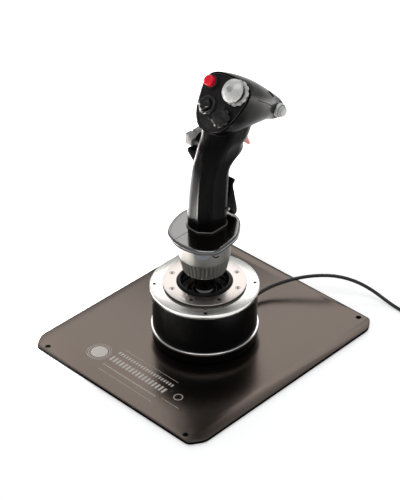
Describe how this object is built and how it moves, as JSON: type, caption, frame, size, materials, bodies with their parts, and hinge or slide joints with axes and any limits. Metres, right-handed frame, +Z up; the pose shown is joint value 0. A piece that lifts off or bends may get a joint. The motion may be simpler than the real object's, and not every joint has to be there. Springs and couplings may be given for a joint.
{
  "type": "flight joystick",
  "caption": "Desktop flight joystick: metal grip with nose, hats, buttons, trigger and paddle on a round two-axis sprung base with a flat plate and USB cable.",
  "frame": {"origin": "on the table under the middle of the base plate", "axes": "+Z up; +Y away from the pilot; +X to the pilot's right"},
  "size_m": [0.3242, 0.421, 0.3083],
  "materials": {
    "plate": "satin black powder coat",
    "black_metal": "satin black paint",
    "bright_metal": "fine turned",
    "satin_metal": "bead blasted",
    "steel": "plain",
    "rubber": "matt",
    "red_plastic": "gloss",
    "salmon_plastic": "satin",
    "pale_plastic": "satin",
    "grey_plastic": "matt",
    "black_plastic": "matt",
    "circuit_board": "lacquered board"
  },
  "bodies": {
    "base": {"base_plate": "plate", "foot_left_rear": "rubber", "foot_left_front": "rubber", "foot_right_rear": "rubber", "foot_right_front": "rubber", "base_plinth": "black_metal", "trim_band": "bright_metal", "housing_shell": "black_metal", "top_ring": "bright_metal", "gimbal_cover": "bright_metal", "cover_screw_1": "steel", "cover_screw_2": "steel", "cover_screw_3": "steel", "cover_screw_4": "steel", "cover_screw_5": "steel", "cover_screw_6": "steel", "cover_screw_7": "steel", "cover_screw_8": "steel", "dust_lip": "rubber", "gimbal_frame": "satin_metal", "main_spring": "steel", "sensor_board": "circuit_board", "cable_gland": "rubber", "usb_cable": "rubber", "cable_coil": "rubber", "usb_plug": "black_plastic"},
    "spring_plate": {"spring_plate": "steel"},
    "gimbal": {"gimbal_ring": "steel"},
    "stick": {"stick_hub": "black_metal", "grip_socket": "black_metal", "grip_plug": "black_plastic", "hand_rest": "black_metal", "grip_shell_left": "black_metal", "grip_shell_right": "black_metal", "side_hat_housing": "black_metal", "face_plate": "black_metal", "face_board": "circuit_board", "red_button_bezel": "satin_metal", "trim_hat_bezel": "pale_plastic", "left_hat_bezel": "satin_metal", "nose_bezel": "satin_metal", "trigger_pin": "steel", "paddle_pin": "steel", "trigger_switch": "black_plastic", "paddle_switch": "black_plastic", "grip_board": "circuit_board"},
    "collar": {"locking_collar": "satin_metal"},
    "trigger": {"trigger": "salmon_plastic"},
    "paddle": {"paddle_lever": "black_metal"},
    "red_button": {"red_button": "red_plastic"},
    "nose_button": {"nose_button": "pale_plastic"},
    "trim_hat_pivot": {"trim_hat_pivot": "steel"},
    "trim_hat": {"trim_hat": "pale_plastic"},
    "left_hat_pivot": {"left_hat_pivot": "steel"},
    "left_hat": {"left_hat": "black_plastic"},
    "lower_hat_pivot": {"lower_hat_pivot": "steel"},
    "lower_hat": {"lower_hat": "black_plastic"},
    "side_hat_plunger": {"side_hat_plunger": "black_plastic"},
    "side_hat_pivot": {"side_hat_pivot": "steel"},
    "side_hat": {"side_hat": "grey_plastic"}
  },
  "joints": [
    {"name": "spring_plate_lift", "type": "slide", "parent": "base", "child": "spring_plate", "axis": [0, 0, 1], "range_m": [-0.002, 0], "stiffness_N_per_m": 8000, "springref_m": 0.004, "deforming": ["main_spring"]},
    {"name": "stick_pitch", "type": "hinge", "parent": "base", "child": "gimbal", "pos_m": [0, 0, 0.0565], "axis": [1, 0, 0], "range_deg": [-14, 14], "stiffness_Nm_per_rad": 20},
    {"name": "stick_roll", "type": "hinge", "parent": "gimbal", "child": "stick", "pos_m": [0, 0, 0.0565], "axis": [0, 1, 0], "range_deg": [-14, 14], "stiffness_Nm_per_rad": 20},
    {"name": "collar_turn", "type": "hinge", "parent": "stick", "child": "collar", "pos_m": [0, 0, 0.11], "axis": [0, 0, 1], "continuous": true},
    {"name": "trigger_squeeze", "type": "hinge", "parent": "stick", "child": "trigger", "pos_m": [0, 0.05, 0.2405], "axis": [-1, 0, 0], "range_deg": [0, 12], "stiffness_Nm_per_rad": 0.6, "springref_deg": -5.73},
    {"name": "paddle_squeeze", "type": "hinge", "parent": "stick", "child": "paddle", "pos_m": [0, 0.024, 0.1585], "axis": [1, 0, 0], "range_deg": [0, 5], "stiffness_Nm_per_rad": 0.8, "springref_deg": -5.73},
    {"name": "red_button_press", "type": "slide", "parent": "stick", "child": "red_button", "axis": [0, 0.7761, -0.6306], "range_m": [0, 0.0025], "stiffness_N_per_m": 800, "springref_m": -0.001},
    {"name": "nose_button_press", "type": "slide", "parent": "stick", "child": "nose_button", "axis": [-1, 0, 0], "range_m": [0, 0.002], "stiffness_N_per_m": 800, "springref_m": -0.001},
    {"name": "trim_hat_fore_aft", "type": "hinge", "parent": "stick", "child": "trim_hat_pivot", "pos_m": [0.015, 0.03328, 0.29227], "axis": [1, 0, 0], "range_deg": [-8, 8], "stiffness_Nm_per_rad": 0.15},
    {"name": "trim_hat_left_right", "type": "hinge", "parent": "trim_hat_pivot", "child": "trim_hat", "pos_m": [0.015, 0.03328, 0.29227], "axis": [0, 0.6306, 0.7761], "range_deg": [-8, 8], "stiffness_Nm_per_rad": 0.15},
    {"name": "left_hat_fore_aft", "type": "hinge", "parent": "stick", "child": "left_hat_pivot", "pos_m": [-0.013, 0.01878, 0.27442], "axis": [1, 0, 0], "range_deg": [-6, 6], "stiffness_Nm_per_rad": 0.15},
    {"name": "left_hat_left_right", "type": "hinge", "parent": "left_hat_pivot", "child": "left_hat", "pos_m": [-0.013, 0.01878, 0.27442], "axis": [0, 0.6306, 0.7761], "range_deg": [-6, 6], "stiffness_Nm_per_rad": 0.15},
    {"name": "lower_hat_fore_aft", "type": "hinge", "parent": "stick", "child": "lower_hat_pivot", "pos_m": [0.012, 0.01519, 0.27], "axis": [1, 0, 0], "range_deg": [-6, 6], "stiffness_Nm_per_rad": 0.15},
    {"name": "lower_hat_left_right", "type": "hinge", "parent": "lower_hat_pivot", "child": "lower_hat", "pos_m": [0.012, 0.01519, 0.27], "axis": [0, 0.6306, 0.7761], "range_deg": [-6, 6], "stiffness_Nm_per_rad": 0.15},
    {"name": "side_hat_press", "type": "slide", "parent": "stick", "child": "side_hat_plunger", "axis": [1, 0, 0], "range_m": [0, 0.0012], "stiffness_N_per_m": 1200, "springref_m": -0.001},
    {"name": "side_hat_fore_aft", "type": "hinge", "parent": "side_hat_plunger", "child": "side_hat_pivot", "pos_m": [-0.03, 0.0222, 0.2275], "axis": [0, 0, 1], "range_deg": [-8, 8], "stiffness_Nm_per_rad": 0.15},
    {"name": "side_hat_up_down", "type": "hinge", "parent": "side_hat_pivot", "child": "side_hat", "pos_m": [-0.03, 0.0222, 0.2275], "axis": [0, 1, 0], "range_deg": [-8, 8], "stiffness_Nm_per_rad": 0.15}
  ]
}
